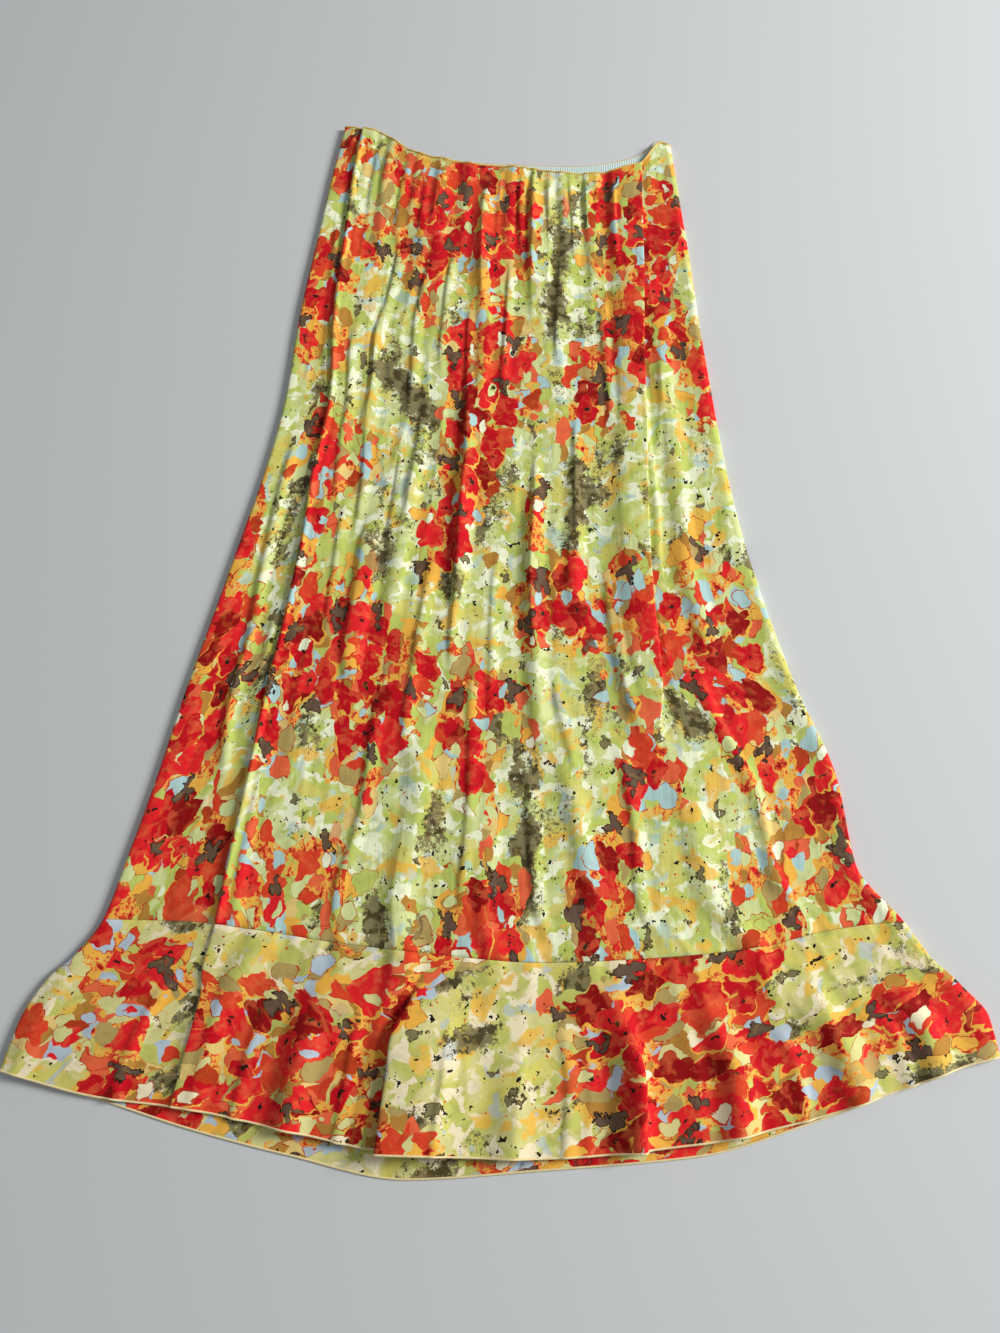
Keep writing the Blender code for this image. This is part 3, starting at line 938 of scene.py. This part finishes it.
def flecks(ink, shade, place, soft):
    """Groups of small black ink flecks, and a few red ones."""
    group = ink.noise(ink.move(soft, 1.2, 7.7), 0.024, 1.0)
    ragged = ink.noise(ink.squeeze(place, 0.8), 0.0062, 2.0, 0.62)
    shade = ink.wash(shade, ink.plus(ragged, ink.times(group, 0.34)), 0.886, 0.893, "black")
    ragged = ink.noise(ink.move(place, 4.7, 3.9), 0.006, 2.0, 0.65)
    return ink.wash(shade, ragged, 0.745, 0.755, "brick")


def sponge(ink, shade, place, soft):
    """Ragged grey-olive patches, dabbed on as with a sponge, taller than wide."""
    patch = ink.noise(ink.squeeze(ink.move(soft, 11.3, 2.6), 0.42), 0.050, 2.0, 0.55)
    dabs = ink.minus(ink.noise(place, 0.0060, 6.0, 0.86), 0.5)
    cover = ink.plus(patch, ink.times(dabs, 0.52))
    tone = ink.wash("olive", ink.noise(place, 0.010), 0.45, 0.60, "dark_olive")
    return ink.mix(ink.ramp(cover, 0.602, 0.610), shade, tone)


def mosaic(ink, shade, torn, marks):
    """Small blunt patches that fill the busy areas, each of one colour, some outlined."""
    _, (pick, other, third), home = scatter(ink, torn, marks)
    zone = ink.plus(zone_at(ink, home), ink.times(other, 0.05))
    inside = ink.ramp(zone, marks.zone, marks.zone + 0.002)
    shade = ink.mix(inside, shade, ink.choose(pick, marks.tones))
    stretched = ink.vector("MULTIPLY", ink.move(torn, *marks.move), STRETCH)
    edge = ink.cells(stretched, marks.spacing, "DISTANCE_TO_EDGE")["Distance"]
    line = ink.ramp(ink.times(edge, marks.spacing), 0.00045, 0.00025)
    line = ink.times(line, ink.ramp(third, 0.70, 0.71))
    return ink.mix(ink.times(line, inside), shade, "rust")


def lace(ink, shade, place, zone):
    """Gold with torn red specks, in patches of the busy areas."""
    patch = ink.noise(ink.move(place, 6.6, 2.9), 0.034, 1.0)
    band = ink.times(ink.ramp(zone, LACE_ZONE, LACE_ZONE + 0.004), ink.ramp(patch, 0.535, 0.545))
    specks = ink.noise(ink.squeeze(place, 0.7), 0.0080, 4.0, 0.75)
    tone = ink.wash("gold", specks, 0.520, 0.530, "coral")
    tone = ink.wash(tone, specks, 0.560, 0.570, "brick")
    tone = ink.wash(tone, specks, 0.625, 0.632, "deep_red")
    return ink.mix(ink.times(band, ink.ramp(specks, 0.41, 0.42)), shade, tone)


def ovals(ink, shade, torn, marks):
    """Scattered ovals in several colours, some with a thin dark line round them."""
    arm, pick, third, here = marked(ink, torn, marks)
    inside = within(ink, mark_reach(ink, third, marks), arm)
    line = ink.times(ink.ramp(inside, -0.0007, -0.0004), ink.ramp(third, 0.58, 0.59))
    shade = ink.mix(ink.times(line, here), shade, "rust")
    return stamp(ink, shade, inside, here, ink.choose(pick, marks.tones))


def petals(ink, shade, torn, marks, lobes):
    """Loose lobed petals in several reds, with a sliver of gold on one side."""
    arm, pick, third, here = marked(ink, torn, marks)
    lobe = ink.plus(ink.times(lobe_waves(ink, arm, pick, lobes), 0.32), 0.72)
    inside = within(ink, ink.times(mark_reach(ink, third, marks), lobe), arm)
    x, y, _ = ink.parts(arm)
    side = ink.plus(ink.times(x, 0.12), ink.times(y, -0.09))
    sliver = ink.times(ink.ramp(ink.plus(inside, side), -0.0005, -0.0002), here)
    shade = ink.mix(ink.times(sliver, ink.ramp(pick, 0.55, 0.56)), shade, "gold")
    tone = ink.choose(pick, marks.tones)
    tone = ink.wash(tone, ink.noise(torn, 0.012), 0.50, 0.66, "coral", 0.45)
    return stamp(ink, shade, inside, here, tone)


def hearts(ink, shade, torn, place, marks):
    """Small torn black marks at the middles of petals."""
    arm, _, _, here = marked(ink, torn, marks)
    ragged = ink.minus(ink.noise(place, 0.0034, 2.0, 0.6), 0.30)
    return stamp(ink, shade, within(ink, ink.times(ragged, 0.0105), arm), here, "black", TORN_EDGE)


def blotches(ink, shade, torn, place, marks):
    """Dark lobed blotches with other middles, in the two tones of the marks."""
    arm, pick, third, here = marked(ink, torn, marks)
    lobe = ink.plus(ink.times(lobe_waves(ink, arm, pick, 3), 0.60), 0.20)
    reach = ink.times(mark_reach(ink, third, marks), lobe)
    uneven = ink.minus(ink.noise(place, 0.0110, 3.0, 0.6), 0.42)
    inside = within(ink, ink.plus(reach, ink.times(uneven, 0.018)), arm)
    rim, middle = marks.tones
    tone = ink.wash(rim, inside, 0.0010, 0.0024, middle)
    return stamp(ink, shade, inside, here, tone, TORN_EDGE)


def make_print(name, tints, turn):
    """Thin printed crepe: the flower print, a fine crepe grain and a soft sheen.

    turn is how far the print is turned on this cloth, in degrees.
    """
    ink = Shader(name, {**INKS, **tints})
    place = ink.cloth(turn)
    grain = ink.noise(place, 0.0009, 2.0, 0.6)
    crinkle = ink.noise(ink.squeeze(place, 0.14), 0.0050)
    place = ink.scale(place, FINER)
    soft = ink.wander(place, 0.030, 0.010)
    torn = ink.wander(ink.wander(soft, 0.0110, 0.0030), 0.0034, 0.0009)
    shade = ground(ink, soft)
    shade = flecks(ink, shade, place, soft)
    shade = sponge(ink, shade, place, soft)
    shade = blotches(ink, shade, torn, place, FADED_BLOTCHES)
    shade = mosaic(ink, shade, torn, MOSAIC)
    shade = lace(ink, shade, place, zone_at(ink, torn))
    shade = ovals(ink, shade, torn, DOTS)
    shade = ovals(ink, shade, torn, OVALS)
    shade = petals(ink, shade, torn, PETALS, 5)
    shade = petals(ink, shade, torn, TOP_PETALS, 3)
    shade = ovals(ink, shade, torn, LEAVES)
    shade = hearts(ink, shade, torn, place, HEARTS)
    shade = blotches(ink, shade, torn, place, DARK_BLOTCHES)
    shade = uneven_ink(ink, shade, place, soft)
    relief = ink.plus(ink.times(crinkle, 3.0), grain)
    return ink.finish(shade, 0.72, 0.03, 0.10, relief, 0.35, 0.0003)


def make_thread(name, tone, uneven_and_painted_shade_tone, pitch):
    """Glossy overlocking thread of uneven tone, with a painted highlight on the crowns of its turns and
    painted shade between them.
    """
    ink = Shader(name)
    place = ink.cloth()
    along, _, _ = ink.parts(place)
    turns = ink.calc("SINE", ink.times(along, 2 * math.pi / pitch))
    share = ink.plus(ink.times(turns, 0.12), ink.noise(place, 0.006))
    # The lighter tone is a painted highlight on the crowns of the turns and the darker one is painted shade
    # between them; the noise adds some change of tone at random.
    shade = ink.mix(ink.ramp(share, 0.20, 0.75), uneven_and_painted_shade_tone, tone)
    return ink.finish(shade, 0.5, 0.1, 0.5, turns, 0.15, 0.0002)


def make_rib_knit():
    """Pale mint knitted elastic, with painted shade between its ribs and its loops."""
    ink = Shader("rib_elastic")
    place = ink.cloth()
    across, along, _ = ink.parts(place)
    rib = ink.calc("COSINE", ink.times(across, 2 * math.pi / RIB_PITCH))
    loops = ink.calc("COSINE", ink.times(along, 2 * math.pi / LOOP_PITCH))
    share = ink.plus(ink.times(rib, 0.5), ink.times(loops, 0.2))
    share = ink.plus(share, ink.times(ink.noise(place, 0.005), 0.4))
    # The darker mint is painted shade between the ribs and the loops, with some change of tone at random.
    shade = ink.mix(ink.ramp(share, -0.5, 0.6), colour(184, 214, 208), colour(222, 236, 230))
    return ink.finish(shade, 0.85, 0.1, 0.5, loops, 0.5, 0.0002)


def make_body(cloth):
    """Make the front and back panels."""
    downs = np.linspace(0.0, BODY_LENGTH - SEAM_ZONE, BODY_ROWS - len(SEAM_STEPS))
    downs = np.concatenate((downs, BODY_LENGTH - SEAM_STEPS[::-1]))
    rows = [front_row(Section(down), FRONT_COLUMNS, STRIP_COLUMNS) for down in downs]
    front = shell("front_panel_cloth", rows, cloth, 0.0, (0.0, 0.0), False)
    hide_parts("front_panel")
    downs = np.linspace(0.0, BODY_LENGTH - SEAM_STEPS[0], BACK_ROWS)
    rows = [back_row(Section(down), BACK_COLUMNS, STRIP_COLUMNS * 2) for down in downs]
    back = shell("back_panel_cloth", rows, cloth, -0.1, (1.3, 0.2), True)
    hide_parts("back_panel")
    return front, back


def make_flounce(cloth):
    """Make the front and back of the flounce."""
    downs = np.linspace(BODY_LENGTH + SEAM_ZONE, SKIRT_LENGTH, FLOUNCE_ROWS - len(SEAM_STEPS))
    downs = np.concatenate((BODY_LENGTH + SEAM_STEPS, downs))
    sections = [Section(down) for down in downs]
    rows = [front_row(section, FLOUNCE_FRONT_COLUMNS, FLOUNCE_STRIP_COLUMNS) for section in sections]
    front = shell("front_flounce_cloth", rows, cloth, 0.0, (2.6, 0.45), False)
    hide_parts("front_flounce")
    rows = [back_row(section, FLOUNCE_BACK_COLUMNS, FLOUNCE_STRIP_COLUMNS) for section in sections]
    back = shell("back_flounce_cloth", rows, cloth, -0.1, (3.9, 0.7), True)
    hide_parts("back_flounce")
    return front, back


def edging(name, path, half_width, half_thick, depth, material):
    """Make a thread-bound edge along a path: a flat tube with a ridge for each turn."""
    length = np.concatenate(([0.0], np.cumsum(np.linalg.norm(np.diff(path, axis=0), axis=1))))
    count = int(length[-1] / EDGE_STEP)
    at = np.linspace(0.0, length[-1], count)
    line = np.column_stack([np.interp(at, length, path[:, k]) for k in range(3)])
    line[:, 2] = np.maximum(line[:, 2], half_thick * (1 + depth) + 0.0001)
    tangent = np.gradient(line, axis=0)
    tangent = tangent / np.linalg.norm(tangent, axis=1)[:, None]
    out = np.array([0.0, 1.0, 0.0]) - tangent * tangent[:, 1:2]
    out = out / np.linalg.norm(out, axis=1)[:, None]
    up = np.cross(out, tangent)
    size = 1 + depth * np.cos(2 * math.pi * at / WAIST_PITCH)
    rings = []
    for k in range(EDGE_SIDES):
        angle = 2 * math.pi * k / EDGE_SIDES
        ring = line + (half_width * math.cos(angle) * size)[:, None] * out
        rings.append(ring + (half_thick * math.sin(angle) * size)[:, None] * up)
    sides = np.arange(EDGE_SIDES) * EDGE_SIDE
    flat = np.column_stack((np.repeat(at, EDGE_SIDES), np.tile(sides, count)))
    return make_piece(name, np.stack(rings, axis=1), flat, material, True, True)


def make_edges():
    """Overlocked waist edges and narrow rolled hems, front and back."""
    # Each thread's first colour is a painted highlight on the crowns of its turns, and the second is
    # painted shade between them.
    gold = make_thread("gold_thread", colour(232, 196, 98), colour(214, 164, 72), WAIST_PITCH)
    hem = make_thread("hem_thread", colour(236, 220, 166), colour(232, 208, 152), HEM_PITCH)
    waist = Section(0.0)
    foot = Section(SKIRT_LENGTH)
    back_waist = back_row(waist, BACK_COLUMNS, STRIP_COLUMNS * 2)
    back_foot = back_row(foot, FLOUNCE_BACK_COLUMNS, FLOUNCE_STRIP_COLUMNS)
    front_waist = front_row(waist, FRONT_COLUMNS, STRIP_COLUMNS)[:-len(TUCK_TURNS)]
    front_foot = front_row(foot, FLOUNCE_FRONT_COLUMNS, FLOUNCE_STRIP_COLUMNS)[:-len(TUCK_TURNS)]
    rows = (
        ("front_waist_edge", front_waist, 0.0010, 0.0008, 0.03, gold),
        ("back_waist_edge", back_waist, 0.0010, 0.0007, 0.03, gold),
        ("front_hem", front_foot, 0.0008, 0.0007, 0.0, hem),
        ("back_hem", back_foot, 0.0008, 0.0006, 0.0, hem),
    )
    return {row[0]: edging(*row) for row in rows}


def make_elastic():
    """Make the ribbed elastic, all round inside the waist edge."""
    rows = []
    radius = (BAND_WALL + SEAM_GAP) / 2
    low = WALL + SEAM_GAP + BAND_WALL / 2 + BAND_LIFT
    turn = np.linspace(0, math.pi, 7)[1:-1]
    share = turn / math.pi
    for down in np.linspace(BAND_TOP - BAND_RISE, BAND_BOTTOM, BAND_ROWS):
        section = Section(down)
        start = section.left + BAND_INSET
        end = section.right - BAND_INSET
        along = np.linspace(start, end, RIB_COLUMNS)
        rib = RIB_HEIGHT * np.cos(2 * math.pi * along / RIB_PITCH)
        x = np.concatenate((along, end + radius * np.sin(turn), along[::-1], start - radius * np.sin(turn)))
        front = np.concatenate((np.zeros(RIB_COLUMNS), share, np.ones(RIB_COLUMNS), 1 - share))
        round_z = low + radius * (1 - np.cos(turn))
        z = np.concatenate((low + rib, round_z, low + 2 * radius + rib, round_z[::-1]))
        rows.append(np.column_stack((x, section.y(x, front), z)))
    elastic = shell("waist_elastic_band", rows, make_rib_knit(), 0.0, (0.0, 0.0), True, True)
    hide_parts("waist_elastic")
    return elastic


def make_floor():
    """A plain pale floor."""
    paint = Shader("pale_floor")
    paint.surface.inputs["Base Color"].default_value = colour(205, 208, 210)
    paint.surface.inputs["Roughness"].default_value = 0.9
    mesh = bpy.data.meshes.new("floor")
    half = FLOOR_HALF
    corners = [(-half, -half), (half, -half), (half, half), (-half, half)]
    mesh.from_pydata([(x, y, FLOOR_Z) for x, y in corners], [], [(0, 1, 2, 3)])
    mesh.materials.append(paint.material)
    floor = bpy.data.objects.new("floor", mesh)
    bpy.context.collection.objects.link(floor)


def make_lights():
    """Soft daylight from the right, and a weak fill from all round."""
    world = bpy.data.worlds.new("room")
    bpy.context.scene.world = world
    world.use_nodes = True
    air = world.node_tree.nodes["Background"]
    air.inputs["Color"].default_value = FILL_COLOUR
    air.inputs["Strength"].default_value = FILL_STRENGTH
    lamp = bpy.data.lights.new("window", "AREA")
    lamp.size = WINDOW_SIZE
    lamp.energy = WINDOW_POWER
    lamp.color = WINDOW_COLOUR
    light = bpy.data.objects.new("window", lamp)
    light.location = WINDOW_PLACE
    light.rotation_euler = (-Vector(WINDOW_PLACE)).to_track_quat("-Z", "Y").to_euler()
    bpy.context.collection.objects.link(light)


def make_camera():
    """Put the camera where the photograph was taken."""
    turn = Matrix.Rotation(math.radians(CAMERA_TURN), 4, "Z")
    tilt = Matrix.Rotation(math.radians(CAMERA_TILT), 4, "X")
    roll = Matrix.Rotation(math.radians(CAMERA_ROLL), 4, "Z")
    data = bpy.data.cameras.new("camera")
    data.lens = CAMERA_LENS
    data.sensor_width = CAMERA_SENSOR
    camera = bpy.data.objects.new("camera", data)
    camera.matrix_world = Matrix.Translation(CAMERA_PLACE) @ turn @ tilt @ roll
    bpy.context.collection.objects.link(camera)
    bpy.context.scene.camera = camera


def main():
    """Build the skirt, its surroundings and the camera."""
    make_camera()
    make_floor()
    make_lights()
    front, back = make_body(make_print("flower_print", BODY_TINTS, 0))
    front_flounce, back_flounce = make_flounce(make_print("flounce_print", FLOUNCE_TINTS, FLOUNCE_TURN))
    elastic = make_elastic()
    edges = make_edges()
    bpy.context.scene.view_settings.view_transform = "Standard"


main()
